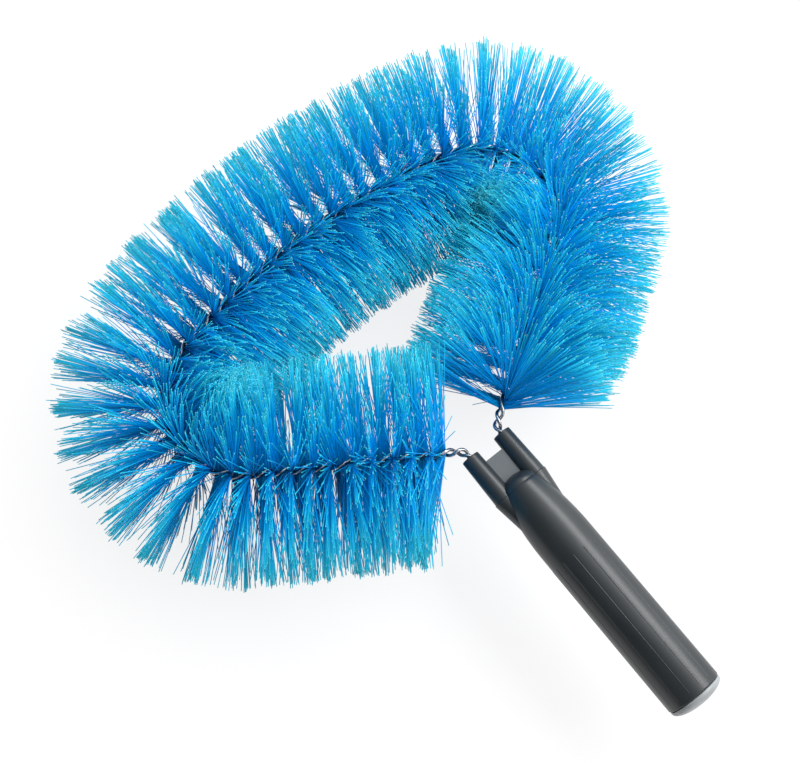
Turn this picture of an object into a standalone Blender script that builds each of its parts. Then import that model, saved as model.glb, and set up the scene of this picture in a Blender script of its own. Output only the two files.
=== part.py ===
# Dusting brush: a loop of twisted wire that grips bristles, held in a moulded handle.
# X runs across the handle, Y along it towards the loop, Z up from the surface that the
# brush lies on. The origin is the middle of the brush's footprint, on that surface.

import math

import bmesh
import bpy
from mathutils import Matrix, Vector

mm = 0.001
degree = math.pi / 180

# Clearances
fit_gap = 0.3 * mm  # between pieces that touch in the real brush
cut_overrun = 4 * mm  # how far a cutter stands out of what it cuts

# Handle, with places along it measured back from the mouths of the wire sockets
socket_spacing = 19.5 * mm
socket_mouth_radius = 4.7 * mm
socket_ring_radius = 5.35 * mm
socket_waist_radius = 2.8 * mm
socket_chamfer = 0.5 * mm
web_thickness = 3 * mm
web_place = 6.3 * mm
ring_place = 25.5 * mm
ring_step = 0.2 * mm
nose_length = 6.3 * mm
nose_radius = 10 * mm
shoulder_place = 43 * mm
waist_place = 47 * mm
barrel_place = 59 * mm
barrel_front_radius = 14.1 * mm
barrel_rear_radius = 14.2 * mm
handle_length = 148 * mm
pole_bore_radius = 12.7 * mm
pole_bore_place = 61 * mm
core_place = 33 * mm
core_tip_length = 5 * mm
core_tip_radius = 8 * mm
rib_count = 14
rib_width = 1.5 * mm
rib_height = 0.35 * mm
rib_root = 0.8 * mm  # how far a rib reaches into the barrel's wall
rib_front_place = 61 * mm
rib_rear_place = 140 * mm

# End plug
plug_dome_height = 5.2 * mm
plug_edge_height = 0.8 * mm
plug_edge_inset = 0.3 * mm
plug_skirt_length = 12.5 * mm
plug_wall = 1.6 * mm

# Twisted wire, whose loop is two straight legs, two round lobes and a bowed far side
wire_radius = 0.9 * mm
twist_radius = 1.4 * mm
stem_depth = 22 * mm
stem_pitch = 12.5 * mm
stem_lead = 0.3 * mm  # straight out of the socket before the bend
stem_bend_radius = 7 * mm
leg_angle = 32.1 * degree
lobe_radius = 39.1 * mm
loop_half_width = 114.2 * mm
loop_depth = 140 * mm

# Bristles, in slices of the bed that the two wires grip
bare_stem = 12.5 * mm
bristle_reach = 53.5 * mm
floor_cut = 0.5 * mm  # how far the lowest tips are cut flat
slice_count = 25
pairs_per_slice = 9
pairs_per_turn = 8
bed_half_width = 1.2 * mm
bed_thickness = 0.3 * mm
root_margin = 0.2 * mm  # from a strand's root to each end of its step of the bed
strand_tip_width = 5 * mm  # along the wire, of a lock that can fan out freely
strand_tip_thickness = 1 * mm
strand_gap = 0.6 * mm
fan_shares = (1, 0.7, 0.4)  # of the tip width, tried until the strand fits at full length
tip_turn_share = 0.25  # of the bed's turn along a strand's root, kept at its tip

# Smoothness, in counts
turned_steps = 48
socket_steps = 32
arc_steps = 6
route_samples = 240

# Mesh settings
sharp_angle = 35 * degree
merge_distance = 0.01 * mm
level_share = 0.3  # of a strand's direction, past which its room to the side is measured

# Colours, roughness and metallic value of each material
handle_look = ((0.045, 0.052, 0.056, 1), 0.38, 0)
plug_look = ((0.40, 0.42, 0.44, 1), 0.45, 0)
wire_look = ((0.62, 0.63, 0.64, 1), 0.28, 1)
bristle_look = ((0.006, 0.27, 0.68, 1), 0.42, 0)

# Places that follow from the sizes above
front_extent = loop_depth + bristle_reach
rear_extent = handle_length + fit_gap + plug_dome_height
mouth_y = (rear_extent - front_extent) / 2
axis_height = bristle_reach - floor_cut
socket_x = socket_spacing / 2


def along_handle(place):
    """Local Z of a turned shape, whose axis points from the handle to the loop."""
    return -place


def new_material(name, look):
    colour, roughness, metallic = look
    material = bpy.data.materials.new(name)
    material.use_nodes = True
    shader = material.node_tree.nodes["Principled BSDF"]
    shader.inputs["Base Color"].default_value = colour
    shader.inputs["Roughness"].default_value = roughness
    shader.inputs["Metallic"].default_value = metallic
    material.diffuse_color = colour
    return material


def new_collection(name):
    collection = bpy.data.collections.new(name)
    bpy.context.scene.collection.children.link(collection)
    return collection


def mesh_object(name, mesh, collection, material=None):
    piece = bpy.data.objects.new(name, mesh)
    collection.objects.link(piece)
    if material:
        mesh.materials.append(material)
        mesh.shade_smooth()
        mesh.set_sharp_from_angle(angle=sharp_angle)
    else:
        piece.hide_render = True
        piece.display_type = "WIRE"
    return piece


def turned(name, profile, x, steps, collection, material=None):
    """A solid turned about the handle's direction from (radius, place) points, front to rear."""
    mesh = bpy.data.meshes.new(name)
    points = [(radius, 0, along_handle(place)) for radius, place in profile]
    mesh.from_pydata(points, [(i, i + 1) for i in range(len(points) - 1)], [])
    piece = mesh_object(name, mesh, collection, material)
    piece.location = (x, mouth_y, axis_height)
    piece.rotation_euler = (-math.pi / 2, 0, 0)
    screw = piece.modifiers.new("Turn", "SCREW")
    screw.steps = screw.render_steps = steps
    screw.use_merge_vertices = True
    screw.merge_threshold = merge_distance
    screw.use_smooth_shade = True
    return piece


def boolean(piece, other, operation):
    modifier = piece.modifiers.new(other.name, "BOOLEAN")
    modifier.operation = operation
    modifier.solver = "EXACT"
    modifier.object = other


def quarter_ellipse(radius, place, length, front):
    """Points of a dome's profile between its tip on the axis and its rim at place."""
    points = []
    for i in range(arc_steps + 1):
        angle = math.pi / 2 * i / arc_steps
        along = length * math.cos(angle)
        points.append((radius * math.sin(angle), place - along if front else place + along))
    return points if front else points[::-1]


def shoulder_profile():
    """The body's curve from the ring to the barrel, a parabola that leaves the barrel smoothly."""
    start = Vector((nose_radius + ring_step, ring_place))
    bend = Vector((barrel_front_radius, shoulder_place))
    end = Vector((barrel_front_radius, barrel_place))
    points = []
    for i in range(arc_steps + 1):
        t = i / arc_steps
        points.append(tuple(start * (1 - t) ** 2 + bend * 2 * t * (1 - t) + end * t**2))
    return points


def body_profile():
    nose = quarter_ellipse(nose_radius, ring_place, nose_length, True)
    rear = [(barrel_rear_radius, handle_length), (0, handle_length)]
    return nose + shoulder_profile() + rear


def socket_profile():
    mouth = [(0, 0), (socket_mouth_radius - socket_chamfer, 0)]
    front = [(socket_mouth_radius, socket_chamfer), (socket_ring_radius, ring_place)]
    rear = [(socket_ring_radius + ring_step, ring_place), (socket_waist_radius, waist_place)]
    return mouth + front + rear + [(0, waist_place + socket_waist_radius)]


def bore_profile():
    tip = quarter_ellipse(core_tip_radius, core_place + core_tip_length, core_tip_length, True)
    rear = handle_length + cut_overrun
    return tip + [(pole_bore_radius, pole_bore_place), (pole_bore_radius, rear), (0, rear)]


def stem_bore_profile():
    radius = twist_radius + wire_radius + fit_gap
    end = stem_depth + wire_radius
    return [(0, -cut_overrun), (radius, -cut_overrun), (radius, end), (0, end)]


def box(bm, size, matrix):
    bmesh.ops.create_cube(bm, size=1, matrix=matrix @ Matrix.Diagonal((*size, 1)))


def web_plate(collection):
    """The flat plate between the two sockets, which runs on into the body."""
    length = ring_place - web_place
    bm = bmesh.new()
    place = Vector((0, mouth_y - web_place - length / 2, axis_height))
    box(bm, (socket_spacing, length, web_thickness), Matrix.Translation(place))
    mesh = bpy.data.meshes.new("web_plate")
    bm.to_mesh(mesh)
    bm.free()
    return mesh_object("web_plate", mesh, collection)


def grip_ribs(collection):
    """Raised ribs along the barrel, which follow its slight taper."""
    length = rib_rear_place - rib_front_place
    middle = (rib_front_place + rib_rear_place) / 2
    taper = (barrel_rear_radius - barrel_front_radius) / (handle_length - barrel_place)
    radius = barrel_front_radius + taper * (middle - barrel_place)
    thickness = rib_root + rib_height
    bm = bmesh.new()
    for i in range(rib_count):
        around = Matrix.Rotation(2 * math.pi * (i + 1 / 2) / rib_count, 4, "Y")
        out = Matrix.Translation((0, 0, radius + rib_height - thickness / 2))
        lean = Matrix.Rotation(-math.atan(taper), 4, "X")
        centre = Matrix.Translation((0, mouth_y - middle, axis_height))
        box(bm, (rib_width, length, thickness), centre @ around @ out @ lean)
    mesh = bpy.data.meshes.new("grip_ribs")
    bm.to_mesh(mesh)
    bm.free()
    return mesh_object("grip_ribs", mesh, collection)


def make_handle(parts, cutters, material):
    """One moulding: two wire sockets, the web between them, the nose, the body and the barrel."""
    handle = turned("socket_handle", body_profile(), 0, turned_steps, parts, material)
    added = [web_plate(cutters), grip_ribs(cutters)]
    removed = [turned("pole_bore", bore_profile(), 0, turned_steps, cutters)]
    for side, name in ((1, "right"), (-1, "left")):
        x = side * socket_x
        added.append(turned(f"socket_{name}", socket_profile(), x, socket_steps, cutters))
        bore = turned(f"stem_bore_{name}", stem_bore_profile(), x, socket_steps, cutters)
        removed.append(bore)
    for other in added:
        boolean(handle, other, "UNION")
    for other in removed:
        boolean(handle, other, "DIFFERENCE")


def plug_profile():
    """A thin cup: the skirt goes into the barrel, and the dome closes its end."""
    skirt = pole_bore_radius - fit_gap
    inside = skirt - plug_wall
    lip = handle_length - plug_skirt_length
    rim = handle_length + fit_gap
    edge = barrel_rear_radius - plug_edge_inset
    dome_place = rim + plug_edge_height
    dome_height = plug_dome_height - plug_edge_height
    hollow = quarter_ellipse(inside, rim, plug_dome_height - plug_wall, False)[::-1]
    dome = quarter_ellipse(edge, dome_place, dome_height, False)
    return hollow + [(inside, lip), (skirt, lip), (skirt, rim), (edge, rim)] + dome


def make_plug(parts, material):
    turned("end_plug", plug_profile(), 0, turned_steps, parts, material)


def loop_pieces():
    """The whole wire as (length, curvature) pieces, from one stem's end to the other's.

    Each piece is tangent to the next. The stem bends out of its socket into the straight leg,
    the lobe turns back, and the far side is an arc about a point on the handle's axis. It bows
    inwards where the loop is too shallow for its lobes.
    """
    across, along = math.cos(leg_angle), math.sin(leg_angle)
    leg_x = socket_x + stem_bend_radius * (1 - along)
    leg_y = stem_lead + stem_bend_radius * across
    lobe_x = loop_half_width - lobe_radius
    leg = (lobe_x - leg_x + lobe_radius * along) / across
    lobe_y = leg_y + leg * along + lobe_radius * across
    drop = loop_depth - lobe_y
    far_bend = 2 * (drop - lobe_radius) / (lobe_x**2 + drop**2 - lobe_radius**2)
    far_angle = math.atan(lobe_x * far_bend / (1 - drop * far_bend))
    far_length = far_angle / far_bend if far_bend else lobe_x
    half = [
        (stem_depth + stem_lead, 0),
        (stem_bend_radius * (math.pi / 2 - leg_angle), -1 / stem_bend_radius),
        (leg, 0),
        (lobe_radius * (math.pi - far_angle - leg_angle), 1 / lobe_radius),
        (far_length, far_bend),
    ]
    return half + half[::-1]


pieces = loop_pieces()
route_length = sum(length for length, curvature in pieces)
bristle_start = stem_depth + bare_stem
pair_count = slice_count * pairs_per_slice
pair_step = (route_length - 2 * bristle_start) / pair_count
twist_pitch = pair_step * pairs_per_turn
tip_turn = 2 * math.pi / pairs_per_turn * tip_turn_share


def route_frame(distance):
    """Place, tangent, inward side and curvature of the wire's centre line at a distance."""
    place = Vector((socket_x, mouth_y - stem_depth, axis_height))
    heading = math.pi / 2
    for length, curvature in pieces:
        step = min(distance, length)
        turn = curvature * step
        chord = step if not turn else 2 * math.sin(turn / 2) / curvature
        middle = heading + turn / 2
        place = place + chord * Vector((math.cos(middle), math.sin(middle), 0))
        heading += turn
        distance -= step
        if distance <= 0:
            break
    tangent = Vector((math.cos(heading), math.sin(heading), 0))
    inward = Vector((-math.sin(heading), math.cos(heading), 0))
    return place, tangent, inward, curvature


def twist_angle(distance):
    """Angle of the bristle bed about the wire. The twist is left handed, and tighter at the stems."""
    offset = distance - route_length / 2
    limit = route_length / 2 - bristle_start
    gripped = max(-limit, min(limit, offset))
    return -2 * math.pi * (gripped / twist_pitch + (offset - gripped) / stem_pitch)


def bed_directions(distance):
    """The bristles' direction and, square to it, the wires' direction."""
    place, tangent, inward, curvature = route_frame(distance)
    angle = twist_angle(distance)
    up = Vector((0, 0, 1))
    strand = inward * math.cos(angle) + up * math.sin(angle)
    wires = up * math.cos(angle) - inward * math.sin(angle)
    return strand, wires


def wire_distances():
    """Places along the route of a wire's points, about eight to each turn."""
    stem_points = math.ceil(bristle_start / stem_pitch * pairs_per_turn)
    start = [bristle_start * i / stem_points for i in range(stem_points)]
    gripped = [bristle_start + pair_step * i for i in range(pair_count + 1)]
    return start + gripped + [route_length - distance for distance in reversed(start)]


def wire_points(side):
    """Points along the middle of one wire, which winds about the route on its own side."""
    points = []
    for distance in wire_distances():
        strand, wires = bed_directions(distance)
        points.append(route_frame(distance)[0] + wires * side * twist_radius)
    return points


def least_wire_gap():
    """The least gap between the two wires, measured on their points."""
    others = wire_points(-1)
    return min((a - b).length for a in wire_points(1) for b in others) - 2 * wire_radius


def make_wire(name, side, parts, material):
    """One of the two wires, a tube with filled caps."""
    curve = bpy.data.curves.new(name, "CURVE")
    curve.dimensions = "3D"
    curve.bevel_depth = wire_radius
    curve.bevel_resolution = 1
    curve.use_fill_caps = True
    places = wire_points(side)
    spline = curve.splines.new("POLY")
    spline.points.add(len(places) - 1)
    for point, place in zip(spline.points, places):
        point.co = (*place, 1)
    curve.materials.append(material)
    parts.objects.link(bpy.data.objects.new(name, curve))


def route_points():
    """Distances and points of the bristled stretch, from which a strand's room is measured."""
    span = route_length - 2 * bristle_start
    steps = [bristle_start + span * i / route_samples for i in range(route_samples + 1)]
    return [(distance, route_frame(distance)[0]) for distance in steps]


samples = route_points()


def room_to_stretch(distance, start, side):
    """How far a line can run level from its start before another stretch's wire is as near.

    The wire within one turn of the line's own place is left out, and the gap between two
    strands is kept.
    """
    room = front_extent
    for place, point in samples:
        offset = point - start
        ahead = side.dot(offset) + strand_gap
        if abs(place - distance) > twist_pitch and ahead > 0:
            room = min(room, (offset.length_squared - strand_gap**2) / (2 * ahead))
    return room


def strand_fan(distance, outward):
    """Reach and tip width of a strand, which fans out where it has room.

    Where strands of another stretch are in the way, or the strands close up on the inside of
    a bend, the tip is drawn in. The narrowest strand then stops where it meets them.
    """
    place, tangent, inward, curvature = route_frame(distance)
    level = outward.dot(inward)
    if abs(level) < level_share:
        return bristle_reach, strand_tip_width
    side = inward * math.copysign(1, level)
    bend = curvature * math.copysign(1, level)
    spread = bristle_reach * math.tan(tip_turn / 2) + strand_tip_thickness / 2
    for share in fan_shares:
        width = strand_tip_width * share
        ends = [place + tangent * width / 2, place - tangent * width / 2]
        room = min(room_to_stretch(distance, end, side) for end in ends) - spread * abs(outward.z)
        if bend > 0:
            room = min(room, (1 - (width + strand_gap) / (twist_pitch / 2)) / bend)
        if room >= bristle_reach * abs(level):
            return bristle_reach, width
    return room / abs(level), width


def bed_corners(bm, distance, width):
    """Two corners of the flat bristle bed between the wires, at a width from its middle."""
    place = route_frame(distance)[0] + bed_directions(distance)[0] * width
    half = bed_directions(distance)[1] * bed_thickness / 2
    return [bm.verts.new(place - half), bm.verts.new(place + half)]


def split_face(bm, a, b, c, d):
    """A twisted face as two triangles, which meet on the line from a to c."""
    bm.faces.new((a, b, c))
    bm.faces.new((a, c, d))


def add_strand(bm, distance, side, root):
    """A strand that grows from the four root corners on the bed's edge to its tip.

    Its two broad faces are split along the same corners, so that they stay apart.
    """
    place, tangent, inward, curvature = route_frame(distance)
    reach, width = strand_fan(distance, bed_directions(distance)[0] * side)
    length = reach / math.cos(tip_turn / 2)
    tips = []
    for end in (-1, 1):
        strand, wires = bed_directions(distance + end * pair_step / 2 * tip_turn_share)
        tip = place + strand * side * length + tangent * end * width / 2
        half = wires * end * strand_tip_thickness / 2
        tips += [tip + half, tip - half]
    for corner in tips:
        corner.z = max(corner.z, 0)
    tips = [bm.verts.new(corner) for corner in tips]
    bm.faces.new(tips)
    for a, b in ((0, 3), (1, 2), (0, 1), (2, 3)):
        split_face(bm, root[a], root[b], tips[b], tips[a])


def add_bed_side(bm, middles, edges, side):
    """One side of a slice's bed: its faces round the strands' roots, and the strands."""
    for i, (distance, before, after) in enumerate(edges):
        for a in (0, 1):
            split_face(bm, middles[i][a], before[a], after[a], middles[i + 1][a])
        add_strand(bm, distance, side, (before[0], before[1], after[1], after[0]))
    for i in range(1, len(edges)):
        last, first = edges[i - 1][2], edges[i][1]
        for a in (0, 1):
            bm.faces.new((middles[i][a], last[a], first[a]))
        bm.faces.new((last[0], last[1], first[1], first[0]))


def make_slice(index, parts, material):
    """A slice of the bed and its pairs of strands, apart from the next slice by the fit gap."""
    bm = bmesh.new()
    start = bristle_start + index * pairs_per_slice * pair_step
    places = [start + pair_step * i for i in range(pairs_per_slice + 1)]
    places[0] += fit_gap / 2
    places[-1] -= fit_gap / 2
    middles = [bed_corners(bm, distance, 0) for distance in places]
    ends = [[*middles[0]], [*middles[-1]]]
    for side in (1, -1):
        edges = []
        for i in range(pairs_per_slice):
            middle = start + pair_step * (i + 1 / 2)
            root = pair_step / 2 - root_margin
            width = side * bed_half_width
            before, after = (bed_corners(bm, middle + end * root, width) for end in (-1, 1))
            edges.append((middle, before, after))
        add_bed_side(bm, middles, edges, side)
        ends[0].append(edges[0][1])
        ends[1].append(edges[-1][2])
    for low, high, right, left in ends:
        bm.faces.new((low, right[0], right[1], high))
        bm.faces.new((low, high, left[1], left[0]))
    bmesh.ops.recalc_face_normals(bm, faces=bm.faces)
    name = f"bristles_{index + 1:02d}"
    mesh = bpy.data.meshes.new(name)
    bm.to_mesh(mesh)
    bm.free()
    mesh_object(name, mesh, parts, material)


def main():
    for old in list(bpy.data.objects):
        bpy.data.objects.remove(old)
    parts = new_collection("dusting_brush")
    cutters = new_collection("cutters")
    cutters.hide_render = True
    make_handle(parts, cutters, new_material("handle_plastic", handle_look))
    make_plug(parts, new_material("plug_plastic", plug_look))
    wire_steel = new_material("wire_steel", wire_look)
    make_wire("wire_a", 1, parts, wire_steel)
    make_wire("wire_b", -1, parts, wire_steel)
    bristle_fibre = new_material("bristle_fibre", bristle_look)
    for index in range(slice_count):
        make_slice(index, parts, bristle_fibre)
    print(f"wire route {route_length / mm:.1f} mm, twist pitch {twist_pitch / mm:.2f} mm")
    print(f"socket mouths at Y {mouth_y / mm:.2f} mm, wire height {axis_height / mm:.2f} mm")
    print(f"least gap between the wires {least_wire_gap() / mm:.2f} mm")


main()
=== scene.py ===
import math

import bmesh
import bpy
from mathutils import Euler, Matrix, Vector


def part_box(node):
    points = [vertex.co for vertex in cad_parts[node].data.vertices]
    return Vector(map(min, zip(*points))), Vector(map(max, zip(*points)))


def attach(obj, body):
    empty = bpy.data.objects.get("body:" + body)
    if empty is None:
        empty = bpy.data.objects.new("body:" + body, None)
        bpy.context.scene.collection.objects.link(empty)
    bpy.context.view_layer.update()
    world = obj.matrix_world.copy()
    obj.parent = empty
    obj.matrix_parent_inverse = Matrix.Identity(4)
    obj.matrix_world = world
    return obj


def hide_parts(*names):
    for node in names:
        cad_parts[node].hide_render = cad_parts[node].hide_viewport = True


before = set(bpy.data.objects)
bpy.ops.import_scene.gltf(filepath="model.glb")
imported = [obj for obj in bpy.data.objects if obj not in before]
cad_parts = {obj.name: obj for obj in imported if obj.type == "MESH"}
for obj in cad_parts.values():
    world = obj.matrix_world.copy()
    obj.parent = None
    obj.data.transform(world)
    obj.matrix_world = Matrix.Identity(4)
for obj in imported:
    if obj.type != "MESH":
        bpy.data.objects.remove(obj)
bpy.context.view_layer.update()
mm = 0.001
degree = math.pi / 180
creaseAngle = 35 * degree  # faces that meet at more than this keep a sharp edge
mergeGap = 0.001 * mm  # points nearer to each other than this become one
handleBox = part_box("socket_handle")
mouthY = handleBox[1].y
axisHeight = (handleBox[0].z + handleBox[1].z) / 2
print("frame loaded")


def linearColour(hexText):
    # an sRGB hex value as linear red, green, blue and alpha
    values = []
    for i in (1, 3, 5):
        value = int(hexText[i : i + 2], 16) / 255
        values.append(value / 12.92 if value <= 0.04045 else ((value + 0.055) / 1.055) ** 2.4)
    return (*values, 1)


def addNode(tree, kind, settings=None, inputs=None):
    # one node with its settings; an input takes a value, a socket or another node's first output
    node = tree.nodes.new(kind)
    for name, value in (settings or {}).items():
        setattr(node, name, value)
    for key, value in (inputs or {}).items():
        if isinstance(value, bpy.types.Node):
            value = value.outputs[0]
        if isinstance(value, bpy.types.NodeSocket):
            tree.links.new(value, node.inputs[key])
        else:
            node.inputs[key].default_value = value
    return node


# Camera: a 54 mm lens high above the handle, with the brush lying flat below it
cameraView = {
    "place": (-124.4, -85.5, 614.7), "turn": (15.957, -1.490, -38.863), "lens": 54, "sensor": 36,
}


def makeCamera(view):
    data = bpy.data.cameras.new("camera")
    data.lens = view["lens"]
    data.sensor_width = view["sensor"]
    data.clip_start = 10 * mm
    camera = bpy.data.objects.new("camera", data)
    camera.location = Vector(view["place"]) * mm
    camera.rotation_euler = Euler([angle * degree for angle in view["turn"]])
    bpy.context.scene.collection.objects.link(camera)
    bpy.context.scene.camera = camera


makeCamera(cameraView)
print("camera placed")


# Materials
# the colours along a filament are painted shade at the root and painted light towards the tip, with a
# painted highlight on the cut end; darkest and palest vary each filament at random
filamentFinish = {
    "root": "#00ADEF", "middle": "#02BAEE", "tip": "#2CD4EC", "cutEndHighlight": "#7CEAF6",
    "middlePlace": 0.6, "tipPlace": 0.985, "darkest": 0.66, "palest": 1.12,
    "roughness": 0.4, "specular": 0.2, "seeThrough": 0.4, "lightPast": 0.94,
}
wireFinish = {"dark": "#787A7E", "light": "#BCBEC2", "blotch": 1.2, "roughness": 0.1}
mouldedFinish = {
    "flowMark": 9, "flowStretch": 0.25, "grain": 0.5, "grainDepth": 0.02, "glossSpread": 0.05,
    "shell": ("#1D2225", "#272C2F", 0.35),  # base colour, colour of the flow marks and roughness
    # the web's paler colours are painted light on the shell's plastic
    "web": ("#4A5053", "#545A5D", 0.35),
    "plug": ("#868A8C", "#929698", 0.4),
}


def newMaterial(name):
    # an empty material, with its tree and its shader
    material = bpy.data.materials.new(name)
    material.use_nodes = True
    return material, material.node_tree, material.node_tree.nodes["Principled BSDF"]


def makeFilamentMaterial(finish):
    # Extruded PBT filament: satin and bright blue right through. The colour along each filament is
    # painted
    # shade and light: darker at the root deep in the brush, paler towards the tip, brightest on the cut
    # end as a painted highlight
    material, tree, shader = newMaterial("extrudedFilament")
    along = addNode(tree, "ShaderNodeAttribute", {"attribute_name": "along"})
    ramp = addNode(tree, "ShaderNodeValToRGB", None, {0: along.outputs["Fac"]})
    ramp.color_ramp.elements[0].color = linearColour(finish["root"])
    # the last stop, on the cut end, is a painted highlight
    ramp.color_ramp.elements[1].color = linearColour(finish["cutEndHighlight"])
    middle = ramp.color_ramp.elements.new(finish["middlePlace"])
    middle.color = linearColour(finish["middle"])
    tip = ramp.color_ramp.elements.new(finish["tipPlace"])
    tip.color = linearColour(finish["tip"])
    tint = addNode(tree, "ShaderNodeAttribute", {"attribute_name": "tint"})
    light = addNode(
        tree, "ShaderNodeMapRange", None,
        {0: tint.outputs["Fac"], 3: finish["darkest"], 4: finish["palest"]},
    )
    shade = addNode(
        tree, "ShaderNodeHueSaturation", None, {"Color": ramp.outputs[0], "Value": light}
    )
    tree.links.new(shade.outputs[0], shader.inputs["Base Color"])
    shader.inputs["Roughness"].default_value = finish["roughness"]
    shader.inputs["IOR"].default_value = 1.5
    shader.inputs["Specular IOR Level"].default_value = finish["specular"]
    through = addNode(tree, "ShaderNodeBsdfTranslucent", None, {"Color": shade})
    body = addNode(
        tree, "ShaderNodeMixShader", None, {0: finish["seeThrough"], 1: shader, 2: through}
    )
    # real filaments are finer and clearer than these, so most of the light gets past them
    path = addNode(tree, "ShaderNodeLightPath")
    passed = addNode(
        tree, "ShaderNodeMath", {"operation": "MULTIPLY"},
        {0: path.outputs["Is Shadow Ray"], 1: finish["lightPast"]},
    )
    clear = addNode(tree, "ShaderNodeBsdfTransparent")
    surface = addNode(tree, "ShaderNodeMixShader", None, {0: passed, 1: body, 2: clear})
    tree.links.new(surface.outputs[0], tree.nodes["Material Output"].inputs["Surface"])
    return material


def makeWireMaterial(finish):
    # Galvanised drawn steel wire: bright zinc with faint grey blotches
    material, tree, shader = newMaterial("galvanisedWire")
    place = addNode(tree, "ShaderNodeTexCoord")
    blotch = addNode(
        tree, "ShaderNodeTexNoise", None,
        {"Vector": place.outputs["Object"], "Scale": 1 / (finish["blotch"] * mm), "Detail": 2},
    )
    ramp = addNode(tree, "ShaderNodeValToRGB", None, {0: blotch.outputs[0]})
    ramp.color_ramp.elements[0].position = 0.35
    ramp.color_ramp.elements[0].color = linearColour(finish["dark"])
    ramp.color_ramp.elements[1].position = 0.65
    ramp.color_ramp.elements[1].color = linearColour(finish["light"])
    tree.links.new(ramp.outputs[0], shader.inputs["Base Color"])
    shader.inputs["Metallic"].default_value = 1
    shader.inputs["Roughness"].default_value = finish["roughness"]
    return material


def makeMouldedMaterial(name, finish, piece):
    # Moulded polypropylene: satin, with faint flow marks and the fine grain of the mould
    material, tree, shader = newMaterial(name)
    base, streak, roughness = finish[piece]
    place = addNode(tree, "ShaderNodeTexCoord")
    stretched = addNode(
        tree, "ShaderNodeMapping", None,
        {"Vector": place.outputs["Object"], "Scale": (1, finish["flowStretch"], 1)},
    )
    flow = addNode(
        tree, "ShaderNodeTexNoise", None,
        {"Vector": stretched, "Scale": 1 / (finish["flowMark"] * mm), "Detail": 3},
    )
    ramp = addNode(tree, "ShaderNodeValToRGB", None, {0: flow.outputs[0]})
    ramp.color_ramp.elements[0].position = 0.3
    ramp.color_ramp.elements[0].color = linearColour(base)
    ramp.color_ramp.elements[1].position = 0.72
    ramp.color_ramp.elements[1].color = linearColour(streak)
    tree.links.new(ramp.outputs[0], shader.inputs["Base Color"])
    fine = addNode(
        tree, "ShaderNodeTexNoise", None,
        {"Vector": place.outputs["Object"], "Scale": 1 / (finish["grain"] * mm), "Detail": 2},
    )
    gloss = addNode(
        tree, "ShaderNodeMapRange", None,
        {0: fine.outputs[0], 3: roughness - finish["glossSpread"], 4: roughness + finish["glossSpread"]},
    )
    tree.links.new(gloss.outputs[0], shader.inputs["Roughness"])
    bump = addNode(
        tree, "ShaderNodeBump", None,
        {"Height": fine.outputs[0], "Distance": finish["grainDepth"] * mm, "Strength": 0.5},
    )
    tree.links.new(bump.outputs[0], shader.inputs["Normal"])
    shader.inputs["IOR"].default_value = 1.49
    return material


filamentMaterial = makeFilamentMaterial(filamentFinish)
wireMaterial = makeWireMaterial(wireFinish)
handleMaterial = makeMouldedMaterial("mouldedGreyShell", mouldedFinish, "shell")
# the web is the same plastic as the shell, with a paler copy of its colour: painted light, for the light
# that the thin plate lets through
webPaintedLightMaterial = makeMouldedMaterial("mouldedGreyWebPaintedLight", mouldedFinish, "web")
plugMaterial = makeMouldedMaterial("mouldedGreyPlug", mouldedFinish, "plug")
print("materials made")


# Twisted wire. The route starts deep in the right socket, straight up the loop, in millimetres
wireRoute = {
    "socketSpacing": 19.5, "stemDepth": 22, "stemLead": 0.3, "stemBendRadius": 7,
    "legAngle": 32.1, "lobeRadius": 39.1, "loopHalfWidth": 114.2, "loopDepth": 140,
    "bareStem": 12.5, "stemPitch": 12.5, "twistTurns": 28.125, "step": 0.6,
    # degrees that the filaments beside each stem lean away from it, and over what length
    "rightLean": 27, "rightLeanLength": 60, "leftLean": 18, "leftLeanLength": 25,
}
wireShape = {"wireRadius": 0.9, "twistRadius": 1.4, "sides": 12}


def routePieces(sizes):
    # (length, curvature) of stem, bend, leg, lobe and far side, then the same back again
    legAngle = sizes["legAngle"] * degree
    across, along = math.cos(legAngle), math.sin(legAngle)
    bend, lobe = sizes["stemBendRadius"], sizes["lobeRadius"]
    legX = sizes["socketSpacing"] / 2 + bend * (1 - along)
    legY = sizes["stemLead"] + bend * across
    lobeX = sizes["loopHalfWidth"] - lobe
    leg = (lobeX - legX + lobe * along) / across
    drop = sizes["loopDepth"] - (legY + leg * along + lobe * across)
    farBend = 2 * (drop - lobe) / (lobeX**2 + drop**2 - lobe**2)
    farAngle = math.atan(lobeX * farBend / (1 - drop * farBend))
    half = [
        (sizes["stemDepth"] + sizes["stemLead"], 0),
        (bend * (math.pi / 2 - legAngle), -1 / bend),
        (leg, 0),
        (lobe * (math.pi - farAngle - legAngle), 1 / lobe),
        (farAngle / farBend, farBend),
    ]
    return half + half[::-1]


def routePlace(sizes, pieces, distance):
    # place and inward side of the wire's middle line at a distance
    place = Vector((sizes["socketSpacing"] / 2, -sizes["stemDepth"], 0))
    heading = math.pi / 2
    for length, curvature in pieces:
        step = min(distance, length)
        turn = curvature * step
        chord = step if not turn else 2 * math.sin(turn / 2) / curvature
        middle = heading + turn / 2
        place += chord * Vector((math.cos(middle), math.sin(middle), 0))
        heading += turn
        distance -= step
        if distance <= 0:
            break
    inward = Vector((-math.sin(heading), math.cos(heading), 0))
    return place * mm + Vector((0, mouthY, axisHeight)), inward


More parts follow.
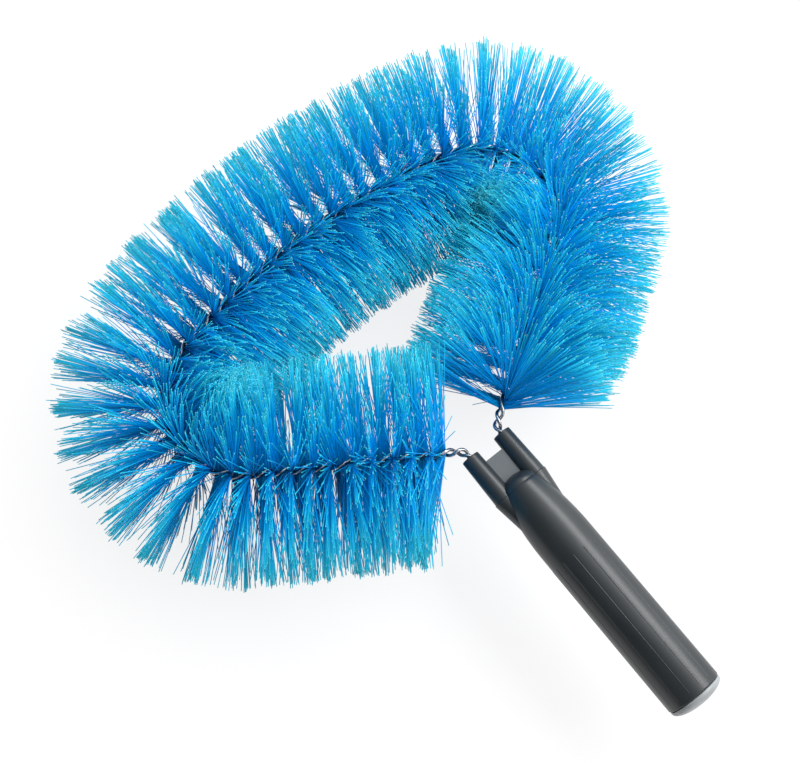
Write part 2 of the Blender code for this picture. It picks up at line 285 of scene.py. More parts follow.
def makeRoute(sizes):
    # a line of points that carries the inward side and the twist for the node trees
    pieces = routePieces(sizes)
    total = sum(length for length, curvature in pieces)
    start = sizes["stemDepth"] + sizes["bareStem"]
    limit = total / 2 - start
    pitch = 2 * limit / sizes["twistTurns"]
    count = math.ceil(total / sizes["step"])
    places, inwards, twists, sweeps = [], [], [], []
    for i in range(count + 1):
        distance = total * i / count
        place, inward = routePlace(sizes, pieces, distance)
        offset = distance - total / 2
        gripped = max(-limit, min(limit, offset))
        places.append(place)
        inwards.append(inward)
        twists.append(-2 * math.pi * (gripped / pitch + (offset - gripped) / sizes["stemPitch"]))
        end, sign = ("rightLean", 1) if offset < 0 else ("leftLean", -1)
        near = max(0, 1 - (limit - abs(gripped)) / sizes[end + "Length"])
        sweeps.append(sign * near * math.tan(sizes[end] * degree))
    mesh = bpy.data.meshes.new("route")
    mesh.from_pydata(places, [(i, i + 1) for i in range(count)], [])
    mesh.attributes.new("inward", "FLOAT_VECTOR", "POINT").data.foreach_set(
        "vector", [value for inward in inwards for value in inward]
    )
    mesh.attributes.new("twist", "FLOAT", "POINT").data.foreach_set("value", twists)
    mesh.attributes.new("sweep", "FLOAT", "POINT").data.foreach_set("value", sweeps)
    return mesh, start * mm, (total - start) * mm


def newTree(name, sockets):
    # a node tree with a geometry in and out, and named inputs for its sizes
    tree = bpy.data.node_groups.new(name, "GeometryNodeTree")
    tree.interface.new_socket("Geometry", in_out="INPUT", socket_type="NodeSocketGeometry")
    for label, kind in sockets:
        tree.interface.new_socket(label, in_out="INPUT", socket_type=kind)
    tree.interface.new_socket("Geometry", in_out="OUTPUT", socket_type="NodeSocketGeometry")
    return tree, tree.nodes.new("NodeGroupInput").outputs


def endTree(tree, geometry):
    # every tree ends in plain smooth faces with its material
    source = tree.nodes["Group Input"].outputs
    real = addNode(tree, "GeometryNodeRealizeInstances", None, {0: geometry})
    smooth = addNode(tree, "GeometryNodeSetShadeSmooth", None, {0: real})
    dressed = addNode(tree, "GeometryNodeSetMaterial", None, {0: smooth, "Material": source["Material"]})
    addNode(tree, "NodeGroupOutput", None, {0: dressed})


def grow(name, mesh, tree, values):
    # runs a tree on a mesh and keeps the result as a plain mesh object at the origin
    guide = bpy.data.objects.new("guide", mesh)
    bpy.context.scene.collection.objects.link(guide)
    modifier = guide.modifiers.new("grow", "NODES")
    modifier.node_group = tree
    for item in tree.interface.items_tree:
        if item.in_out == "INPUT" and item.name in values:
            modifier[item.identifier] = values[item.name]
    depsgraph = bpy.context.evaluated_depsgraph_get()
    result = bpy.data.meshes.new_from_object(guide.evaluated_get(depsgraph))
    bpy.data.objects.remove(guide)
    result.name = name
    piece = bpy.data.objects.new(name, result)
    bpy.context.scene.collection.objects.link(piece)
    return piece


def bandDirections(tree, twist, inward):
    # the filaments' direction at an angle about the wire and, square to it, the wires' direction
    cosine = addNode(tree, "ShaderNodeMath", {"operation": "COSINE"}, {0: twist})
    sine = addNode(tree, "ShaderNodeMath", {"operation": "SINE"}, {0: twist})
    level = addNode(tree, "ShaderNodeVectorMath", {"operation": "SCALE"}, {0: inward, "Scale": cosine})
    side = addNode(tree, "ShaderNodeVectorMath", {"operation": "SCALE"}, {0: inward, "Scale": sine})
    rise = addNode(tree, "ShaderNodeCombineXYZ", None, {"Z": sine})
    lift = addNode(tree, "ShaderNodeCombineXYZ", None, {"Z": cosine})
    filament = addNode(tree, "ShaderNodeVectorMath", {"operation": "ADD"}, {0: level, 1: rise})
    wire = addNode(tree, "ShaderNodeVectorMath", {"operation": "SUBTRACT"}, {0: lift, 1: side})
    return filament, wire


def makeWireTree():
    tree, source = newTree("twistedWire", [
        ("Side", "NodeSocketFloat"), ("Twist Radius", "NodeSocketFloat"),
        ("Wire Radius", "NodeSocketFloat"), ("Sides", "NodeSocketInt"),
        ("Material", "NodeSocketMaterial"),
    ])
    twist = addNode(tree, "GeometryNodeInputNamedAttribute", None, {"Name": "twist"})
    inward = addNode(
        tree, "GeometryNodeInputNamedAttribute", {"data_type": "FLOAT_VECTOR"}, {"Name": "inward"}
    )
    filament, wire = bandDirections(tree, twist, inward)
    reach = addNode(
        tree, "ShaderNodeMath", {"operation": "MULTIPLY"},
        {0: source["Side"], 1: source["Twist Radius"]},
    )
    offset = addNode(tree, "ShaderNodeVectorMath", {"operation": "SCALE"}, {0: wire, "Scale": reach})
    moved = addNode(
        tree, "GeometryNodeSetPosition", None, {"Geometry": source["Geometry"], "Offset": offset}
    )
    line = addNode(tree, "GeometryNodeMeshToCurve", None, {"Mesh": moved})
    ring = addNode(
        tree, "GeometryNodeCurvePrimitiveCircle", None,
        {"Resolution": source["Sides"], "Radius": source["Wire Radius"]},
    )
    tube = addNode(
        tree, "GeometryNodeCurveToMesh", None,
        {"Curve": line, "Profile Curve": ring, "Fill Caps": True},
    )
    endTree(tree, tube.outputs[0])
    return tree


routeMesh, bandStart, bandEnd = makeRoute(wireRoute)
wireTree = makeWireTree()
for name, side in (("wire_a", 1), ("wire_b", -1)):
    wire = grow(name + "_drawn", routeMesh.copy(), wireTree, {
        "Side": side, "Twist Radius": wireShape["twistRadius"] * mm,
        "Wire Radius": wireShape["wireRadius"] * mm, "Sides": wireShape["sides"],
        "Material": wireMaterial,
    })
    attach(wire, "brush")
    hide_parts(name)
print("twisted wires made")


# Filaments, in four stretches of one band that the wires grip, with sizes in millimetres
bristleBand = {
    "ends": 19000, "reach": 53.5, "filamentRadius": 0.24, "sides": 3, "segments": 4,
    "lockWidth": 1.1, "tuftLean": 3, "lockLean": 3, "ownLean": 11,  # leans along the wire, in degrees
    "lockTurn": 13, "ownTurn": 50,  # turns about the wire, in degrees
    "lockRagged": 0.8, "ragged": 0.8, "curl": 1.7,
    "innerLean": 0.3,  # share of the lean beside the stems that filaments inside the loop have
    "seed": 7, "seedStep": 20,
}
stretches = [(1, 6), (7, 12), (13, 19), (20, 25)]  # first and last slice of each


def makeBristleTree():
    tree, source = newTree("bristleBand", [
        ("From", "NodeSocketFloat"), ("To", "NodeSocketFloat"), ("Ends", "NodeSocketInt"),
        ("Reach", "NodeSocketFloat"), ("Filament Radius", "NodeSocketFloat"),
        ("Sides", "NodeSocketInt"), ("Segments", "NodeSocketInt"),
        ("Lock Width", "NodeSocketFloat"), ("Tuft Lean", "NodeSocketFloat"),
        ("Lock Lean", "NodeSocketFloat"), ("Lock Turn", "NodeSocketFloat"),
        ("Own Lean", "NodeSocketFloat"), ("Own Turn", "NodeSocketFloat"),
        ("Lock Ragged", "NodeSocketFloat"), ("Ragged", "NodeSocketFloat"),
        ("Curl", "NodeSocketFloat"), ("Inner Lean", "NodeSocketFloat"),
        ("Seed", "NodeSocketInt"), ("Material", "NodeSocketMaterial"),
    ])
    line = addNode(tree, "GeometryNodeMeshToCurve", None, {"Mesh": source["Geometry"]})
    index = addNode(tree, "GeometryNodeInputIndex")

    # evenly spread places along the band, on its two sides by turns
    scatter = addNode(
        tree, "FunctionNodeRandomValue", {"data_type": "FLOAT"},
        {2: 0.0, 3: 1.0, "ID": index, "Seed": source["Seed"]},
    )
    order = addNode(tree, "ShaderNodeMath", {"operation": "ADD"}, {0: index, 1: scatter.outputs[1]})
    place = addNode(
        tree, "ShaderNodeMapRange", None,
        {0: order, 1: 0.0, 2: source["Ends"], 3: source["From"], 4: source["To"]},
    )
    parity = addNode(tree, "ShaderNodeMath", {"operation": "MODULO"}, {0: index, 1: 2})
    side = addNode(
        tree, "ShaderNodeMath", {"operation": "MULTIPLY_ADD"}, {0: parity, 1: 2, 2: -1}
    )
    storedTwist = addNode(tree, "GeometryNodeInputNamedAttribute", None, {"Name": "twist"})
    onRoute = addNode(
        tree, "GeometryNodeSampleCurve", {"mode": "LENGTH", "data_type": "FLOAT"},
        {"Curves": line, "Length": place, "Value": storedTwist},
    )
    inward = addNode(
        tree, "GeometryNodeInputNamedAttribute", {"data_type": "FLOAT_VECTOR"}, {"Name": "inward"}
    )
    across = addNode(
        tree, "GeometryNodeSampleCurve", {"mode": "LENGTH", "data_type": "FLOAT_VECTOR"},
        {"Curves": line, "Length": place, "Value": inward},
    )
    storedSweep = addNode(tree, "GeometryNodeInputNamedAttribute", None, {"Name": "sweep"})
    back = addNode(
        tree, "GeometryNodeSampleCurve", {"mode": "LENGTH", "data_type": "FLOAT"},
        {"Curves": line, "Length": place, "Value": storedSweep},
    )
    twist, root, tangent = (onRoute.outputs[name] for name in ("Value", "Position", "Tangent"))

    # a lock is a few filaments that lie together, and a tuft is half a turn of the wire
    lockPlace = addNode(
        tree, "ShaderNodeMath", {"operation": "DIVIDE"}, {0: place, 1: source["Lock Width"]}
    )
    lockOrder = addNode(tree, "ShaderNodeMath", {"operation": "FLOOR"}, {0: lockPlace})
    lock = addNode(
        tree, "ShaderNodeMath", {"operation": "MULTIPLY_ADD"}, {0: lockOrder, 1: 2, 2: parity}
    )
    halfTurns = addNode(tree, "ShaderNodeMath", {"operation": "DIVIDE"}, {0: twist, 1: math.pi})
    tuftOrder = addNode(tree, "ShaderNodeMath", {"operation": "ROUND"}, {0: halfTurns})
    tuft = addNode(
        tree, "ShaderNodeMath", {"operation": "MULTIPLY_ADD"}, {0: tuftOrder, 1: 2, 2: parity}
    )

    def chance(label, identity, offset, power):
        # a random share from -1 to 1 of an input; with a higher power few of them are far from zero
        seed = addNode(tree, "ShaderNodeMath", {"operation": "ADD"}, {0: source["Seed"], 1: offset})
        share = addNode(
            tree, "FunctionNodeRandomValue", {"data_type": "FLOAT"},
            {2: -1.0, 3: 1.0, "ID": identity, "Seed": seed},
        ).outputs[1]
        size = addNode(tree, "ShaderNodeMath", {"operation": "ABSOLUTE"}, {0: share})
        gain = addNode(tree, "ShaderNodeMath", {"operation": "POWER"}, {0: size, 1: power - 1})
        drawn = addNode(tree, "ShaderNodeMath", {"operation": "MULTIPLY"}, {0: share, 1: gain})
        return addNode(tree, "ShaderNodeMath", {"operation": "MULTIPLY"}, {0: drawn, 1: source[label]})

    tuftLean = chance("Tuft Lean", tuft, offset=1, power=1)
    lockLean = chance("Lock Lean", lock, offset=2, power=1)
    ownLean = chance("Own Lean", index, offset=3, power=5)
    lockTurn = chance("Lock Turn", lock, offset=4, power=2)
    ownTurn = chance("Own Turn", index, offset=5, power=8)
    lockRagged = chance("Lock Ragged", lock, offset=6, power=2)
    ownRagged = chance("Ragged", index, offset=7, power=1)
    finerLean = addNode(tree, "ShaderNodeMath", {"operation": "ADD"}, {0: lockLean, 1: ownLean})
    lean = addNode(tree, "ShaderNodeMath", {"operation": "ADD"}, {0: tuftLean, 1: finerLean})
    turn = addNode(tree, "ShaderNodeMath", {"operation": "ADD"}, {0: lockTurn, 1: ownTurn})
    angle = addNode(tree, "ShaderNodeMath", {"operation": "ADD"}, {0: twist, 1: turn})

    # only the filaments that ended longer are cut back to the reach
    uneven = addNode(tree, "ShaderNodeMath", {"operation": "ADD"}, {0: lockRagged, 1: ownRagged})
    grown = addNode(tree, "ShaderNodeMath", {"operation": "ADD"}, {0: source["Reach"], 1: uneven})
    length = addNode(
        tree, "ShaderNodeMath", {"operation": "MINIMUM"}, {0: grown, 1: source["Reach"]}
    )
    filament, wire = bandDirections(tree, angle, across.outputs[0])
    facing = addNode(tree, "ShaderNodeVectorMath", {"operation": "SCALE"}, {0: filament, "Scale": side})
    inner = addNode(
        tree, "ShaderNodeVectorMath", {"operation": "DOT_PRODUCT"}, {0: facing, 1: across.outputs[0]}
    )
    swept = addNode(
        tree, "ShaderNodeMapRange", None,
        {0: inner.outputs["Value"], 1: -1.0, 2: 1.0, 3: 1.0, 4: source["Inner Lean"]},
    )
    backLean = addNode(
        tree, "ShaderNodeMath", {"operation": "MULTIPLY_ADD"}, {0: swept, 1: back.outputs[0], 2: lean}
    )
    slant = addNode(
        tree, "ShaderNodeVectorMath", {"operation": "SCALE"}, {0: tangent, "Scale": backLean}
    )
    leaning = addNode(tree, "ShaderNodeVectorMath", {"operation": "ADD"}, {0: facing, 1: slant})
    aim = addNode(tree, "ShaderNodeVectorMath", {"operation": "NORMALIZE"}, {0: leaning})
    run = addNode(tree, "ShaderNodeVectorMath", {"operation": "SCALE"}, {0: aim, "Scale": length})
    curlSeed = addNode(tree, "ShaderNodeMath", {"operation": "ADD"}, {0: source["Seed"], 1: 8})
    curlShare = addNode(
        tree, "FunctionNodeRandomValue", {"data_type": "FLOAT_VECTOR"},
        {0: (-1, -1, -1), 1: (1, 1, 1), "ID": index, "Seed": curlSeed},
    )
    curl = addNode(
        tree, "ShaderNodeVectorMath", {"operation": "SCALE"},
        {0: curlShare, "Scale": source["Curl"]},
    )
    tintSeed = addNode(tree, "ShaderNodeMath", {"operation": "ADD"}, {0: source["Seed"], 1: 9})
    tint = addNode(
        tree, "FunctionNodeRandomValue", {"data_type": "FLOAT"},
        {2: 0.0, 3: 1.0, "ID": index, "Seed": tintSeed},
    )

    # each point keeps what its filament needs, and then carries a straight one of unit length
    points = addNode(tree, "GeometryNodePoints", None, {"Count": source["Ends"]})
    for label, kind, value in (
        ("root", "FLOAT_VECTOR", root), ("run", "FLOAT_VECTOR", run.outputs[0]),
        ("curl", "FLOAT_VECTOR", curl.outputs[0]), ("beside", "FLOAT_VECTOR", tangent),
        ("tint", "FLOAT", tint.outputs[1]),
    ):
        points = addNode(
            tree, "GeometryNodeStoreNamedAttribute", {"data_type": kind, "domain": "POINT"},
            {"Geometry": points, "Name": label, "Value": value},
        )
    stick = addNode(
        tree, "GeometryNodeMeshCylinder", {"fill_type": "NGON"},
        {"Vertices": source["Sides"], "Side Segments": source["Segments"],
         "Radius": source["Filament Radius"], "Depth": 1.0},
    )
    planted = addNode(
        tree, "GeometryNodeInstanceOnPoints", None, {"Points": points, "Instance": stick.outputs[0]}
    )
    real = addNode(tree, "GeometryNodeRealizeInstances", None, {0: planted})

    # then each one is laid from its root along its run, with its curl growing towards the tip
    kept = {}
    for label in ("root", "run", "curl", "beside"):
        kept[label] = addNode(
            tree, "GeometryNodeInputNamedAttribute", {"data_type": "FLOAT_VECTOR"}, {"Name": label}
        )
    local = addNode(
        tree, "ShaderNodeSeparateXYZ", None, {0: addNode(tree, "GeometryNodeInputPosition")}
    )
    along = addNode(tree, "ShaderNodeMath", {"operation": "ADD"}, {0: local.outputs["Z"], 1: 0.5})
    alongSquare = addNode(tree, "ShaderNodeMath", {"operation": "MULTIPLY"}, {0: along, 1: along})
    marked = addNode(
        tree, "GeometryNodeStoreNamedAttribute", {"data_type": "FLOAT", "domain": "POINT"},
        {"Geometry": real, "Name": "along", "Value": along},
    )
    normal = addNode(
        tree, "ShaderNodeVectorMath", {"operation": "CROSS_PRODUCT"},
        {0: kept["run"], 1: kept["beside"]},
    )
    normalUnit = addNode(tree, "ShaderNodeVectorMath", {"operation": "NORMALIZE"}, {0: normal})
    binormal = addNode(
        tree, "ShaderNodeVectorMath", {"operation": "CROSS_PRODUCT"}, {0: kept["run"], 1: normalUnit}
    )
    binormalUnit = addNode(tree, "ShaderNodeVectorMath", {"operation": "NORMALIZE"}, {0: binormal})
    spot = kept["root"]
    for vector, scale in (
        (kept["run"], along), (kept["curl"], alongSquare),
        (normalUnit, local.outputs["X"]), (binormalUnit, local.outputs["Y"]),
    ):
        part = addNode(tree, "ShaderNodeVectorMath", {"operation": "SCALE"}, {0: vector, "Scale": scale})
        spot = addNode(tree, "ShaderNodeVectorMath", {"operation": "ADD"}, {0: spot, 1: part})

    # none of them goes below the surface that the brush lies on, and sideways there is no limit
    above = addNode(
        tree, "ShaderNodeVectorMath", {"operation": "MAXIMUM"}, {0: spot, 1: (-10, -10, 0)}
    )
    laid = addNode(
        tree, "GeometryNodeSetPosition", None, {"Geometry": marked, "Position": above}
    )
    for label in ("root", "run", "curl", "beside"):
        laid = addNode(
            tree, "GeometryNodeRemoveAttribute", None, {"Geometry": laid, "Name": label}
        )
    endTree(tree, laid.outputs[0])
    return tree


bristleTree = makeBristleTree()
sliceCount = stretches[-1][1]
sliceLength = (bandEnd - bandStart) / sliceCount
for order, (first, last) in enumerate(stretches):
    share = (last - first + 1) / sliceCount
    band = grow(f"bristles_{order + 1}", routeMesh.copy(), bristleTree, {
        "From": bandStart + sliceLength * (first - 1), "To": bandStart + sliceLength * last,
        "Ends": round(bristleBand["ends"] * share), "Reach": bristleBand["reach"] * mm,
        "Filament Radius": bristleBand["filamentRadius"] * mm,
        "Sides": bristleBand["sides"], "Segments": bristleBand["segments"],
        "Lock Width": bristleBand["lockWidth"] * mm,
        "Tuft Lean": math.tan(bristleBand["tuftLean"] * degree),
        "Lock Lean": math.tan(bristleBand["lockLean"] * degree),
        "Own Lean": math.tan(bristleBand["ownLean"] * degree),
        "Lock Turn": bristleBand["lockTurn"] * degree, "Own Turn": bristleBand["ownTurn"] * degree,
        "Lock Ragged": bristleBand["lockRagged"] * mm, "Ragged": bristleBand["ragged"] * mm,
        "Curl": bristleBand["curl"] * mm, "Inner Lean": bristleBand["innerLean"],
        "Seed": bristleBand["seed"] + order * bristleBand["seedStep"],
        "Material": filamentMaterial,
    })
    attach(band, "brush")
    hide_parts(*[f"bristles_{i:02d}" for i in range(first, last + 1)])
print("filaments made")


# Handle. Places are millimetres behind the mouths of the two wire sockets, as pairs with a radius
handleShape = {
    "noseRadius": 10, "noseLength": 6.3, "ringPlace": 25.5, "ringStep": 0.35,
    "shoulderPlace": 43, "barrelPlace": 59, "barrelFront": 14.1, "barrelRear": 14.2,
    "rimRound": 0.7, "length": 148, "boreRadius": 12.7, "borePlace": 61,
    "coreRadius": 8, "corePlace": 33, "coreLength": 5, "steps": 96,
    "overrun": 4,  # how far the cutting shapes reach out of the handle
}
socketShape = {
    "mouthRadius": 4.7, "mouthRound": 0.5, "ringRadius": 5.35, "ringStep": 0.35, "waistRadius": 2.8,
    "waistPlace": 47, "boreRadius": 2.6, "boreDepth": 22.9, "steps": 64,
}
webShape = {"thickness": 3, "place": 6.3}
ribShape = {
    "count": 14, "width": 0.9, "height": 0.1, "depth": 0.5, "front": 66, "rear": 145,
    "turn": 6.7, "segments": 12, "rings": 8,
}
arcSteps = 12
edgeSteps = 4


def quarterRound(radius, place, length, towardsRear):
    # points of a dome from its tip on the axis to its rim at a place
    points = []
    for i in range(arcSteps + 1):
        angle = math.pi / 2 * i / arcSteps
        drop = length * math.cos(angle)
        points.append((radius * math.sin(angle), place + drop if towardsRear else place - drop))
    return points


def roundedEdge(radius, place, size, atRear):
    # points of a rounded edge, from the side to a rear face at a place or from a front face to the side
    points = []
    for i in range(edgeSteps + 1):
        angle = math.pi / 2 * i / edgeSteps
        if atRear:
            points.append((radius - size * (1 - math.cos(angle)), place - size * (1 - math.sin(angle))))
        else:
            points.append((radius - size * (1 - math.sin(angle)), place + size * (1 - math.cos(angle))))
    return points


def turnedMesh(name, profile, x, steps):
    # a closed shape turned about the handle's direction, with its normals outwards
    bm = bmesh.new()
    corners = [bm.verts.new((radius * mm, -place * mm, 0)) for radius, place in profile]
    edges = [bm.edges.new(pair) for pair in zip(corners, corners[1:])]
    bmesh.ops.spin(
        bm, geom=corners + edges, cent=(0, 0, 0), axis=(0, 1, 0), angle=2 * math.pi, steps=steps
    )
    bmesh.ops.remove_doubles(bm, verts=bm.verts, dist=mergeGap)
    bmesh.ops.recalc_face_normals(bm, faces=bm.faces)
    bmesh.ops.translate(bm, verts=bm.verts, vec=(x * mm, mouthY, axisHeight))
    mesh = bpy.data.meshes.new(name)
    bm.to_mesh(mesh)
    bm.free()
    return mesh


def makeWebPlate(shape):
    # the flat plate between the sockets, which keeps its own paler material, with its painted light, in
    # the joined handle
    length = handleShape["ringPlace"] - shape["place"]
    bm = bmesh.new()
    bmesh.ops.create_cube(bm, size=mm)
    size = (wireRoute["socketSpacing"], length, shape["thickness"])
    bmesh.ops.scale(bm, verts=bm.verts, vec=size)
    bmesh.ops.translate(
        bm, verts=bm.verts, vec=(0, mouthY - (shape["place"] + length / 2) * mm, axisHeight)
    )
    mesh = bpy.data.meshes.new("webPlate")
    bm.to_mesh(mesh)
    bm.free()
    mesh.materials.append(webPaintedLightMaterial)
    return mesh


def combine(name, base, others):
    # joins or cuts closed meshes one after another, and keeps the result as one plain mesh object
    piece = bpy.data.objects.new(name, base)
    bpy.context.scene.collection.objects.link(piece)
    tools = []
    for mesh, operation in others:
        tool = bpy.data.objects.new(mesh.name, mesh)
        bpy.context.scene.collection.objects.link(tool)
        tools.append(tool)
        modifier = piece.modifiers.new(mesh.name, "BOOLEAN")
        modifier.operation = operation
        modifier.solver = "EXACT"
        modifier.material_mode = "TRANSFER"
        modifier.object = tool
    depsgraph = bpy.context.evaluated_depsgraph_get()
    result = bpy.data.meshes.new_from_object(piece.evaluated_get(depsgraph))
    piece.modifiers.clear()
    piece.data = result
    for tool in tools:
        bpy.data.objects.remove(tool)
    result.shade_smooth()
    result.set_sharp_from_angle(angle=creaseAngle)
    return piece


def makeHandle(body, socket):
    # the shoulder is one smooth bend from the ring behind the nose to the barrel
    start = Vector((body["noseRadius"] + body["ringStep"], body["ringPlace"] + body["ringStep"]))
    bend = Vector((body["barrelFront"], body["shoulderPlace"]))
    end = Vector((body["barrelFront"], body["barrelPlace"]))
    shoulder = []
    for i in range(2 * arcSteps + 1):
        t = i / (2 * arcSteps)
        shoulder.append(tuple(start * (1 - t) ** 2 + bend * 2 * t * (1 - t) + end * t**2))
    nose = quarterRound(body["noseRadius"], body["ringPlace"], body["noseLength"], False)
    rim = roundedEdge(body["barrelRear"], body["length"], body["rimRound"], True)
    outline = nose + shoulder + rim + [(0, body["length"])]

    # the bore for a pole narrows in front to a domed core
    coreRim = body["corePlace"] + body["coreLength"]
    core = quarterRound(body["coreRadius"], coreRim, body["coreLength"], False)
    rear = body["length"] + body["overrun"]
    bore = core + [(body["boreRadius"], body["borePlace"]), (body["boreRadius"], rear), (0, rear)]
    others = [(makeWebPlate(webShape), "UNION")]
    bores = [(turnedMesh("poleBore", bore, 0, body["steps"]), "DIFFERENCE")]

    # each wire socket is a tube with a ring, which runs out in a cone on the shoulder
    mouth = [(0, 0)] + roundedEdge(socket["mouthRadius"], 0, socket["mouthRound"], False)
    tube = mouth + [
        (socket["ringRadius"], body["ringPlace"]),
        (socket["ringRadius"] + socket["ringStep"], body["ringPlace"] + body["ringStep"]),
        (socket["waistRadius"], socket["waistPlace"]),
        (0, socket["waistPlace"] + socket["waistRadius"]),
    ]
    hole = [
        (0, -body["overrun"]), (socket["boreRadius"], -body["overrun"]),
        (socket["boreRadius"], socket["boreDepth"]), (0, socket["boreDepth"]),
    ]
    for side in (1, -1):
        x = side * wireRoute["socketSpacing"] / 2
        others.append((turnedMesh("wireSocket", tube, x, socket["steps"]), "UNION"))
        bores.append((turnedMesh("wireBore", hole, x, socket["steps"]), "DIFFERENCE"))
    shell = turnedMesh("handleBody", outline, 0, body["steps"])
    shell.materials.append(handleMaterial)
    return combine("handle_shell", shell, others + bores)


def makeRibTree():
    # low ribs with round ends, in a ring round the barrel
    tree, source = newTree("gripRibs", [
        ("Count", "NodeSocketInt"), ("Length", "NodeSocketFloat"), ("Width", "NodeSocketFloat"),
        ("Depth", "NodeSocketFloat"), ("Segments", "NodeSocketInt"), ("Rings", "NodeSocketInt"),
        ("Middle Radius", "NodeSocketFloat"), ("Middle", "NodeSocketVector"),
        ("Turn", "NodeSocketFloat"), ("Material", "NodeSocketMaterial"),
    ])

    # one rib: a flattened ball whose two halves are drawn apart along the handle
    ball = addNode(
        tree, "GeometryNodeMeshUVSphere", None,
        {"Segments": source["Segments"], "Rings": source["Rings"], "Radius": 0.5},
    )
    local = addNode(
        tree, "ShaderNodeSeparateXYZ", None, {0: addNode(tree, "GeometryNodeInputPosition")}
    )
    half = addNode(tree, "ShaderNodeMath", {"operation": "SIGN"}, {0: local.outputs["Z"]})
    straight = addNode(
        tree, "ShaderNodeMath", {"operation": "SUBTRACT"}, {0: source["Length"], 1: source["Width"]}
    )
    apart = addNode(tree, "ShaderNodeMath", {"operation": "MULTIPLY"}, {0: straight, 1: 0.5})
    shift = addNode(tree, "ShaderNodeMath", {"operation": "MULTIPLY"}, {0: half, 1: apart})
    across = addNode(
        tree, "ShaderNodeMath", {"operation": "MULTIPLY"}, {0: local.outputs["X"], 1: source["Width"]}
    )
    deep = addNode(
        tree, "ShaderNodeMath", {"operation": "MULTIPLY"}, {0: local.outputs["Y"], 1: source["Depth"]}
    )
    end = addNode(
        tree, "ShaderNodeMath", {"operation": "MULTIPLY_ADD"},
        {0: local.outputs["Z"], 1: source["Width"], 2: shift},
    )
    spot = addNode(tree, "ShaderNodeCombineXYZ", None, {0: across, 1: deep, 2: end})
    bar = addNode(tree, "GeometryNodeSetPosition", None, {"Geometry": ball.outputs[0], "Position": spot})

    # and a ring of them, each with its flat side outwards
    spots = addNode(
        tree, "GeometryNodeMeshCircle", None,
        {"Vertices": source["Count"], "Radius": source["Middle Radius"]},
    )
    index = addNode(tree, "GeometryNodeInputIndex")
    share = addNode(tree, "ShaderNodeMath", {"operation": "DIVIDE"}, {0: index, 1: source["Count"]})
    angle = addNode(
        tree, "ShaderNodeMath", {"operation": "MULTIPLY_ADD"},
        {0: share, 1: 2 * math.pi, 2: source["Turn"]},
    )
    sine = addNode(tree, "ShaderNodeMath", {"operation": "SINE"}, {0: angle})
    cosine = addNode(tree, "ShaderNodeMath", {"operation": "COSINE"}, {0: angle})
    out = addNode(tree, "ShaderNodeCombineXYZ", None, {0: sine, 2: cosine})
    reach = addNode(
        tree, "ShaderNodeVectorMath", {"operation": "SCALE"}, {0: out, "Scale": source["Middle Radius"]}
    )
    place = addNode(tree, "ShaderNodeVectorMath", {"operation": "ADD"}, {0: reach, 1: source["Middle"]})
    put = addNode(tree, "GeometryNodeSetPosition", None, {"Geometry": spots, "Position": place})
    facing = addNode(
        tree, "FunctionNodeAxesToRotation", {"primary_axis": "Z", "secondary_axis": "Y"},
        {0: (0, 1, 0), 1: out},
    )
    ribs = addNode(
        tree, "GeometryNodeInstanceOnPoints", None, {"Points": put, "Instance": bar, "Rotation": facing}
    )
    endTree(tree, ribs.outputs[0])
    return tree


handlePiece = makeHandle(handleShape, socketShape)
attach(handlePiece, "brush")
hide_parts("socket_handle")

ribMiddle = (ribShape["front"] + ribShape["rear"]) / 2
barrelLength = handleShape["length"] - handleShape["barrelPlace"]
barrelTaper = (handleShape["barrelRear"] - handleShape["barrelFront"]) / barrelLength
barrelRadius = handleShape["barrelFront"] + barrelTaper * (ribMiddle - handleShape["barrelPlace"])
ribTop = barrelRadius + ribShape["height"]
ribs = grow("grip_ribs", bpy.data.meshes.new("start"), makeRibTree(), {
    "Count": ribShape["count"], "Length": (ribShape["rear"] - ribShape["front"]) * mm,
    "Width": ribShape["width"] * mm, "Depth": ribShape["depth"] * mm,
    "Segments": ribShape["segments"], "Rings": ribShape["rings"],
    "Middle Radius": (ribTop - ribShape["depth"] / 2) * mm,
    "Middle": (0, mouthY - ribMiddle * mm, axisHeight), "Turn": ribShape["turn"] * degree,
    "Material": handleMaterial,
})
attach(ribs, "brush")
print("handle made")


# End plug, a thin cup whose skirt goes into the barrel
plugShape = {
    "gap": 0.3, "wall": 1.6, "skirt": 12.5, "edgeInset": 0.3, "edgeHeight": 0.8, "edgeRound": 0.35,
    "domeHeight": 5.2,
}


def makePlug(plug, body):
    skirt = body["boreRadius"] - plug["gap"]
    inside = skirt - plug["wall"]
    lip = body["length"] - plug["skirt"]
    rim = body["length"] + plug["gap"]
    edge = body["barrelRear"] - plug["edgeInset"]
    domeFoot = rim + plug["edgeHeight"]
    hollow = quarterRound(inside, rim, plug["domeHeight"] - plug["wall"], True)
    dome = quarterRound(edge, domeFoot, plug["domeHeight"] - plug["edgeHeight"], True)
    corner = roundedEdge(edge, rim, plug["edgeRound"], False)
    outline = hollow + [(inside, lip), (skirt, lip), (skirt, rim)] + corner + dome[::-1]
    mesh = turnedMesh("plugCup", outline, 0, body["steps"])
    mesh.shade_smooth()
    mesh.set_sharp_from_angle(angle=creaseAngle)
    mesh.materials.append(plugMaterial)
    piece = bpy.data.objects.new("plug_cup", mesh)
    bpy.context.scene.collection.objects.link(piece)
    return piece


plugPiece = makePlug(plugShape, handleShape)
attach(plugPiece, "plug")
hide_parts("end_plug")
print("plug made")


# Floor, light and world, in metres and watts
paperSheet = {"halfWidth": 3, "colour": "#F4F4F4", "glow": 0.82}
softbox = {
    "place": (0.56, -0.05, 0.69), "target": (0, -0.05, 0.05), "width": 1.2, "length": 0.32,
    "power": 8.6,
}
room = {"left": 0.2, "right": 1.8, "blend": 0.6}


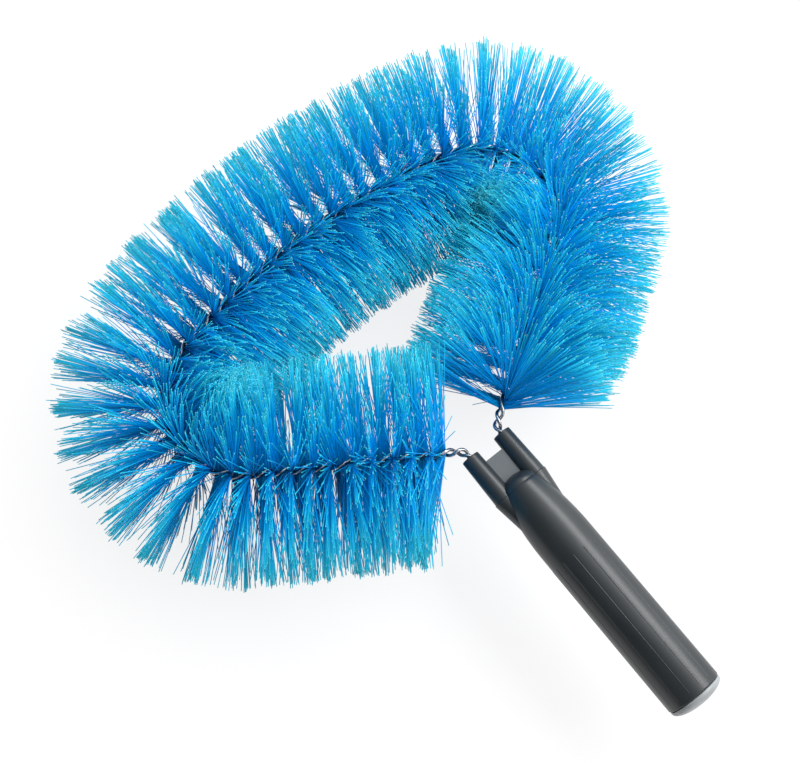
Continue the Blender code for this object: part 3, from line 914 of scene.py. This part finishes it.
def makeFloor(sheet):
    # the paper below the brush: white to the camera, with a soft shadow left in it
    mesh = bpy.data.meshes.new("paper")
    bm = bmesh.new()
    bmesh.ops.create_grid(bm, x_segments=1, y_segments=1, size=sheet["halfWidth"])
    bm.to_mesh(mesh)
    bm.free()
    floor = bpy.data.objects.new("paper", mesh)
    bpy.context.scene.collection.objects.link(floor)
    material, tree, shader = newMaterial("whitePaper")
    shader.inputs["Base Color"].default_value = linearColour(sheet["colour"])
    shader.inputs["Roughness"].default_value = 1
    shader.inputs["Specular IOR Level"].default_value = 0
    glow = addNode(tree, "ShaderNodeEmission", None, {"Color": (1, 1, 1, 1), "Strength": 1})
    lift = addNode(tree, "ShaderNodeMixShader", None, {0: sheet["glow"], 1: shader, 2: glow})
    path = addNode(tree, "ShaderNodeLightPath")
    seen = addNode(
        tree, "ShaderNodeMath", {"operation": "MAXIMUM"},
        {0: path.outputs["Is Camera Ray"], 1: path.outputs["Is Glossy Ray"]},
    )
    through = addNode(
        tree, "ShaderNodeMath", {"operation": "MAXIMUM"},
        {0: seen, 1: path.outputs["Is Transmission Ray"]},
    )
    mix = addNode(tree, "ShaderNodeMixShader", None, {0: through, 1: shader, 2: lift})
    tree.links.new(mix.outputs[0], tree.nodes["Material Output"].inputs["Surface"])
    mesh.materials.append(material)


def makeLamp(name, box):
    data = bpy.data.lights.new(name, "AREA")
    data.shape = "RECTANGLE"
    data.size = box["width"]
    data.size_y = box["length"]
    data.energy = box["power"]
    lamp = bpy.data.objects.new(name, data)
    lamp.location = box["place"]
    aim = Vector(box["target"]) - Vector(box["place"])
    lamp.rotation_euler = aim.to_track_quat("-Z", "Y").to_euler()
    bpy.context.scene.collection.objects.link(lamp)


def makeWorld(values):
    # a room that is lighter on the right, where the lamp is, and all white to the camera
    world = bpy.data.worlds.new("studio")
    world.use_nodes = True
    tree = world.node_tree
    tree.nodes.clear()
    direction = addNode(tree, "ShaderNodeTexCoord")
    parts = addNode(tree, "ShaderNodeSeparateXYZ", None, {0: direction.outputs["Generated"]})
    glow = addNode(
        tree, "ShaderNodeMapRange", {"interpolation_type": "SMOOTHSTEP"},
        {0: parts.outputs["X"], 1: -values["blend"], 2: values["blend"],
         3: values["left"], 4: values["right"]},
    )
    path = addNode(tree, "ShaderNodeLightPath")
    seen = addNode(
        tree, "ShaderNodeMath", {"operation": "MAXIMUM"},
        {0: path.outputs["Is Camera Ray"], 1: path.outputs["Is Transmission Ray"]},
    )
    strength = addNode(tree, "ShaderNodeMath", {"operation": "MAXIMUM"}, {0: seen, 1: glow})
    light = addNode(tree, "ShaderNodeBackground", None, {"Color": (1, 1, 1, 1), "Strength": strength})
    addNode(tree, "ShaderNodeOutputWorld", None, {"Surface": light})
    bpy.context.scene.world = world


makeFloor(paperSheet)
makeLamp("softbox", softbox)
makeWorld(room)
bpy.context.scene.view_settings.view_transform = "Standard"
print("floor and light set")
